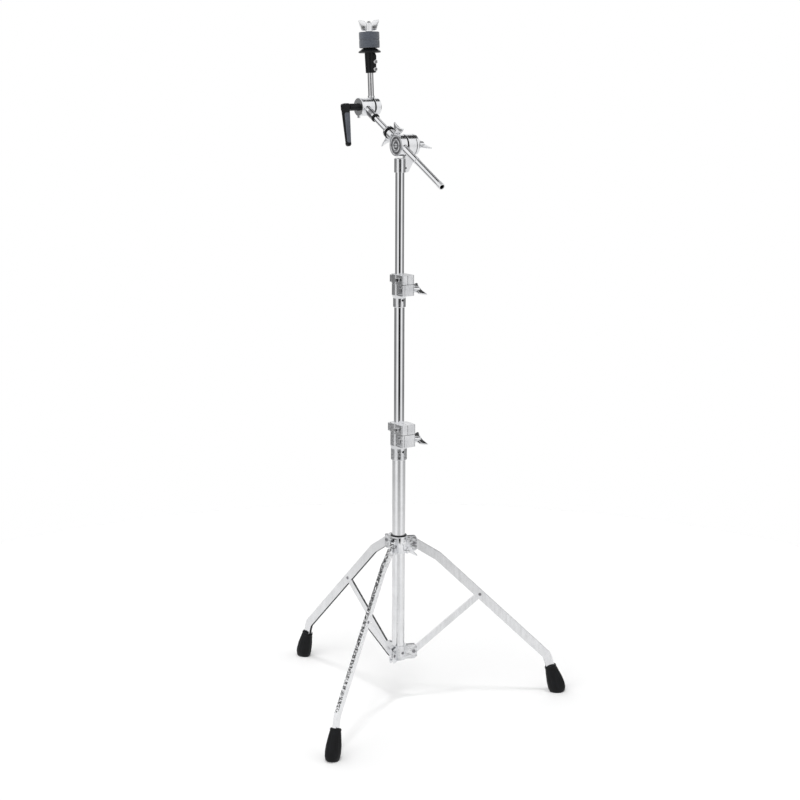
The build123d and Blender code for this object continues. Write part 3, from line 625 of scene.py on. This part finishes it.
screw_share = 0.62      # how far up a clamp's sleeve its screw sits, apart from the last millimetre
for clamp, sleeve_length, out in (("base", 33, 16.4), ("middle", 27, 12.8)):
    height = screw_share * sleeve_length - 1
    set_screw(clamp + "_sleeve_set_screw", clamp + "_clamp_body", 0, out, height, 2.55)
set_screw("neck_set_screw", "tilter_base", 12.5, 4.7, 9, 1.75)


def collar_barrel():
    """The leg collar's smooth barrel with its rounded rim, and the black bush that peeps out of it."""
    low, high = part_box("leg_collar")
    foot = -(high.z - low.z) / MM + 0.1
    inner, rim = 18.0, 2.3
    outline = [(inner, 0.2)]
    for angle in [pi / 2 * k / 10 for k in range(3, 11)]:
        outline.append((inner - 1.0 + rim * sin(angle), -2.0 + rim * cos(angle)))
    mesh = bmesh.new()
    lathe(mesh, outline + [(inner + 1.3, foot + 0.9), (inner + 0.7, foot), (inner, foot)], 120)
    matrix = Matrix.Translation(column + up * high.z)
    body, slot = body_of["leg_collar"], slot_of["leg_collar"]
    piece("collar_barrel", mesh, matrix, body, slot, smooth_angle=50, finish="collar_casting")
    bush = bmesh.new()
    lathe(bush, [(14.4, -1.0), (14.4, 2.1), (15.0, 2.5), (17.1, 2.4), (17.6, 2.1), (17.9, 1.4),
                 (17.9, -1.0)], 96)
    piece("collar_bush", bush, matrix, body, "black_nylon")


def lock_shade_band(node, round_r, left, right, front):
    """A black band between a memory lock and its clamp, with a square front and a round back: painted shade
    standing in for the shadow in the seam.
    """
    rings = []
    mesh = bmesh.new()
    for inset, z in ((0.1, -0.05), (0.1, 1.45), (2.6, 1.45), (2.6, -0.05)):
        r = round_r - inset
        outline = [(-left + inset, 0.0), (-left + inset, -front + inset), (right - inset, -front + inset),
                   (right - inset, 0.0)]
        outline += [(r * cos(pi * k / 24), r * sin(pi * k / 24)) for k in range(25)]
        rings.append([mesh.verts.new((x, -y, z)) for x, y in outline])
    skin(mesh, rings + rings[:1])
    matrix = Matrix((u, v, up)).transposed().to_4x4()
    matrix.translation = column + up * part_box(node)[0].z
    piece(node + "_painted_seam_shade", mesh, matrix, body_of[node], "black_nylon", smooth_angle=30)


collar_barrel()
# black bands as painted shade in the seams between the locks and their clamps
lock_shade_band("lower_lock_block_jaw", round_r=17.6, left=15.5, right=20.0, front=35.3)
lock_shade_band("upper_lock_block_jaw", round_r=15.6, left=13.5, right=17.0, front=32.5)

boom_way = Vector(joints["boom_slide"]["axis"]).normalized()
boom_point = Vector(joints["boom_spin"]["pos_m"])        # on the boom's axis, inside the stop collar
boom_frame = axis_frame(boom_point, boom_way)


def stop_collar():
    """The memory collar on the boom: a black nylon ring with one bright band round it."""
    mesh = bmesh.new()
    lathe(mesh, [(6.45, -3.9), (7.6, -4.1), (12.3, -4.1), (12.9, -3.5), (13.0, -1.4), (12.6, -1.1),
                 (12.6, -0.6), (13.0, -0.3), (13.0, 3.5), (12.4, 4.1), (9.6, 4.1), (9.2, 3.7),
                 (6.45, 3.7)], 96)
    slot = slot_of["boom_stop_collar"]
    piece("stop_collar_ring", mesh, boom_frame, "stop_collar", slot, ("boom_stop_collar",), 30, "black_nylon")
    band = bmesh.new()
    lathe(band, [(12.2, -1.9), (13.15, -1.8), (13.15, 0.2), (12.2, 0.3)], 96)
    piece("stop_collar_band", band, boom_frame, "stop_collar", slot)


socket_mouth = 107.0 - 47.5      # from the stop collar's middle back to the mouth of the socket


def socket_bush():
    """The black bush at the mouth of the cymbal tilter's socket, with five dark bands above it."""
    matrix = boom_frame @ Matrix.Translation((0, 0, -socket_mouth * MM))
    mesh = bmesh.new()
    lathe(mesh, [(6.5, -3.6), (8.95, -3.6), (9.15, -3.2), (9.15, 0.2), (8.7, 0.9), (7.4, 1.1),
                 (6.5, 1.1)], 72)
    piece("socket_bush", mesh, matrix, "boom", "black_nylon")
    bands = bmesh.new()
    outline = [(8.6, -24.0)]
    for z in [-23.4 + 3.1 * k for k in range(5)]:
        outline += [(8.95, z), (8.95, z + 2.0), (8.7, z + 2.3), (8.7, z + 2.8)]
    lathe(bands, outline + [(8.6, -7.6)], 96)
    slot = slot_of["cymbal_tilter_base"]
    piece("socket_bands", bands, matrix, "boom", slot, smooth_angle=30, finish="pin_steel")


stop_collar()
socket_bush()


def ringed_cap():
    """The tilter's front cap: a boss and two broad rings, with darker, rougher steel rings in the grooves between
    them as painted shade.
    """
    node = "tilter_ring_cap"
    matrix, _, _ = turning_frame(node, "boom_tilt")
    body, slot = body_of[node], slot_of[node]
    mesh = bmesh.new()
    boss = [(0.2, 0.0), (3.4, 0.2), (4.3, 0.9), (4.7, 2.3)]
    inner_ring = [(5.2, 2.7), (8.4, 2.7), (8.9, 2.3), (9.4, 1.2), (10.2, 0.8), (12.6, 0.8), (13.4, 1.2)]
    outer_ring = [(13.9, 2.3), (14.4, 2.7), (18.0, 2.7), (18.5, 2.3), (19.0, 1.4), (19.8, 0.9), (21.4, 0.8)]
    rim = [(22.4, 1.3), (22.6, 2.6), (21.8, 3.4), (0.2, 3.4)]
    lathe(mesh, boss + inner_ring + outer_ring + rim, 160, closed=False)
    piece("ring_cap_casting", mesh, matrix, body, slot, (node,), 50, "cap_steel")
    # darker steel rings laid in the grooves: painted shade
    for name, inner, outer in (("ring_cap_inner_groove_shade", 4.5, 9.1), ("ring_cap_outer_groove_shade", 13.7, 18.7)):
        groove = bmesh.new()
        lathe(groove, [(inner, 2.5), (outer, 2.5), (outer, 2.9), (inner, 2.9)], 160)
        piece(name, groove, matrix, body, slot, smooth_angle=30, finish="pin_steel")


def end_cap_shade_ring():
    """A black ring round the drum where the pressure cap starts: painted shade in the seam."""
    node = "tilter_end_cap"
    matrix, reach, _ = turning_frame(node, "boom_tilt")
    inner, outer = reach / MM - 0.6, reach / MM + 0.12
    mesh = bmesh.new()
    lathe(mesh, [(inner, -0.45), (outer, -0.45), (outer, 0.55), (inner, 0.55)], 120)
    piece("end_cap_shade_ring", mesh, matrix, body_of[node], slot_of[node], smooth_angle=30, finish="black_nylon")


def seat_screw_flanges():
    """The round flanges under the heads of the two key screws in the cymbal seat."""
    node = "seat_key_screws"
    point, axis = joint_place("cymbal_nut_turn")
    corners = [vertex.co for vertex in nodes[node].data.vertices]
    middle_height = sum((c - point).dot(axis) for c in corners) / len(corners)
    for name, upper in (("lower", False), ("upper", True)):
        ours = [c for c in corners if ((c - point).dot(axis) > middle_height) == upper]
        offset = sum(ours, Vector()) / len(ours) - point
        out = (offset - axis * offset.dot(axis)).normalized()
        reach = max((c - point).dot(out) for c in ours)
        end_face = [c for c in ours if (c - point).dot(out) > reach - 0.5 * MM]
        head = sum(end_face, Vector()) / len(end_face)
        mesh = bmesh.new()
        lathe(mesh, [(2.0, -4.4), (4.2, -4.4), (4.6, -4.0), (4.6, -2.6), (4.2, -2.1), (2.0, -1.9)], 48)
        piece(f"seat_{name}_screw_flange", mesh, axis_frame(head, out), body_of[node], "plated_steel")


ringed_cap()
end_cap_shade_ring()
seat_screw_flanges()


thread_length = 30


def stud_thread():
    """The threaded end of the post above the felts."""
    point, axis = joint_place("cymbal_nut_turn")
    reach = max((vertex.co - point).dot(axis) for vertex in nodes["cymbal_post"].data.vertices)
    matrix = axis_frame(point + axis * (reach - thread_length * MM), axis)
    mesh = bmesh.new()
    lathe(mesh, thread_profile(4.02, 0, thread_length - 0.4, 1.25), 48, closed=False)
    piece("stud_thread", mesh, matrix, "post", slot_of["cymbal_post"])


stud_thread()


panel_start, panel_length = 12, 64       # along the arm from the lever's axis


def lever_reflection_panel():
    """A dull grey-blue panel along the front face of the lever's arm, narrower and lower toward its tip: a painted
    reflection, lighter than the black arm as if its face mirrored a bright light.
    """
    corners = [vertex.co for vertex in nodes["tilter_lever"].data.vertices]
    point, axis = joint_place("lever_turn")

    def square_to_axis(corner):
        return (corner - point) - axis * (corner - point).dot(axis)

    reach = max(square_to_axis(c).length for c in corners)
    tip = [c for c in corners if square_to_axis(c).length > 0.9 * reach]
    along = sum((square_to_axis(c) for c in tip), Vector()).normalized()
    face = axis.cross(along)
    if face.dot(v) < 0:
        face = -face
    middle = (max(c.dot(u) for c in tip) + min(c.dot(u) for c in tip)) / 2
    section = ((-1.0, -0.4), (-0.94, 0.15), (-0.5, 0.32), (0.0, 0.36), (0.5, 0.32), (0.94, 0.15), (1.0, -0.4))
    mesh = bmesh.new()
    rows = []
    for t in [k / 24 for k in range(25)]:
        half = (6.9 - 2.2 * t) * (1 - 0.5 * max(0, (abs(t - 0.5) - 0.44) / 0.07) ** 2)
        lift = 6.6 - 2.1 * t
        rows.append([mesh.verts.new((panel_start + panel_length * t, side * half, lift + rise))
                     for side, rise in section])
    for first, second in zip(rows, rows[1:]):
        for k in range(len(section) - 1):
            mesh.faces.new((first[k], first[k + 1], second[k + 1], second[k]))
    mesh.faces.new(rows[0])
    mesh.faces.new(rows[-1])
    matrix = Matrix((along, face.cross(along), face)).transposed().to_4x4()
    matrix.translation = point + u * (middle - point.dot(u))
    piece("lever_painted_reflection_panel", mesh, matrix, "lever", "black_nylon", smooth_angle=50, finish="painted_reflection_panel")


lever_reflection_panel()

# ---- rubber boots: ribbed, with a lip round the neck and a flat sole ----
# a boot's widths and depths, by the share of its length down from the neck
boot_widths = [(0.0, 24.5), (0.28, 30.0), (0.55, 36.5), (0.78, 39.5), (0.9, 38.0), (1.0, 33.0), (1.1, 25.0)]
boot_depths = [(0.0, 21.5), (0.28, 26.0), (0.55, 30.5), (0.78, 32.5), (0.9, 31.0), (1.0, 27.0), (1.1, 20.0)]
boot_length, boot_foot_radius, ankle_tilt = 66.0, 369.6, radians(18.0)
boot_spokes, boot_ribs, rib_height = 192, 12, 0.75


def boot(side, heading):
    """One moulded boot in the place of its plain shape, pressed flat where it would sink into the floor."""
    node = side + "_foot"
    a = radians(heading)
    out = Vector((cos(a), sin(a), 0))
    axis = up * cos(ankle_tilt) - out * sin(ankle_tilt)
    matrix = upright_frame(column + out * (boot_foot_radius * MM), out, axis)
    mesh = bmesh.new()
    # from inside the neck, over its lip and down to the sole: (share of the length, distance off the section)
    outline = [(0.02, -4.0), (0.0, -1.5), (0.0, -0.4), (0.008, 0.3), (0.02, 0.7), (0.055, 0.7), (0.07, 0.2)]
    outline += [(0.08 + 0.94 * k / 40, 0.0) for k in range(41)]
    outline += [(1.04, -2.0), (1.05, -6.0), (1.05, -9.0)]
    rows = []
    for share, lift in outline:
        wide, deep = between(share, boot_widths) / 2, between(share, boot_depths) / 2
        z = boot_length + 0.4 - share * boot_length
        ribbed = sin(pi * min(1, max(0, (share - 0.1) / 0.68))) ** 0.5
        row = []
        for angle in [2 * pi * k / boot_spokes for k in range(boot_spokes)]:
            reach = lift + rib_height * ribbed * max(0, cos(boot_ribs * angle)) ** 3
            row.append(mesh.verts.new(((wide + reach) * cos(angle), (deep + reach) * sin(angle), z)))
        rows.append(row)
    skin(mesh, rows)
    mesh.faces.new(rows[0])
    mesh.faces.new(rows[-1])
    for vertex in mesh.verts:
        above_floor = (matrix @ (vertex.co * MM)).z / MM
        if above_floor < 0:
            vertex.co.z -= above_floor / cos(ankle_tilt)
    piece(node + "_rubber", mesh, matrix, body_of[node], "foot_rubber", (node,), smooth_angle=50)


for side, heading in (("right", 8.5), ("left", 128.5), ("front", -111.5)):
    boot(side, heading)
